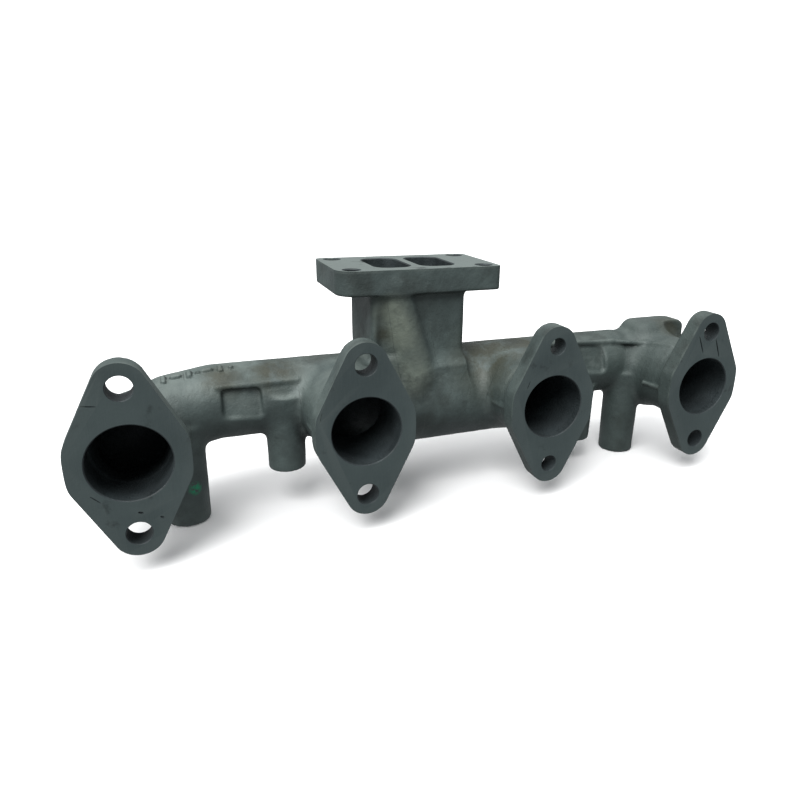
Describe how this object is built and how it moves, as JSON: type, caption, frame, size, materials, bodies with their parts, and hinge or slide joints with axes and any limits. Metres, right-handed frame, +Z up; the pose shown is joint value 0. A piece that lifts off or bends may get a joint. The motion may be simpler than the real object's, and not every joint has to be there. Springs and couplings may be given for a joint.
{
  "type": "exhaust manifold",
  "caption": "Cast-iron log exhaust manifold: round port flanges on short necks feed a divided gallery, whose riser carries a flat twin-window turbocharger flange.",
  "frame": {"origin": "mid-length of the row of ports, on the plane of the port faces, at port-centre height; it is the centre of the outer port-bolt rectangle", "axes": "+X along the row from port 1 to port 4, -Y out of the port faces towards the cylinder head, +Z up towards the turbocharger flange"},
  "size_m": [0.419, 0.1005, 0.1455],
  "materials": {
    "cast_iron": "as-cast, shot-blasted, faintly green grey",
    "machined_iron": "milled faces, matte grey",
    "inner_iron": "dark as-cast core surface"
  },
  "bodies": {
    "root": {"port_flange_1": "machined_iron", "port_flange_2": "machined_iron", "port_flange_3": "machined_iron", "port_flange_4": "machined_iron", "port_neck_1": "cast_iron", "port_neck_2": "cast_iron", "port_neck_3": "cast_iron", "port_neck_4": "cast_iron", "end_elbow_1": "cast_iron", "gallery_1_2": "cast_iron", "collector_1_2": "cast_iron", "pulse_divider": "inner_iron", "collector_3_4": "cast_iron", "gallery_3_4": "cast_iron", "end_elbow_4": "cast_iron", "riser_duct_1_2": "cast_iron", "riser_duct_3_4": "cast_iron", "riser_column": "cast_iron", "turbo_flange": "machined_iron", "post_1": "cast_iron", "post_2": "cast_iron", "post_3": "cast_iron", "post_4": "cast_iron", "end_boss": "cast_iron"}
  },
  "joints": []
}
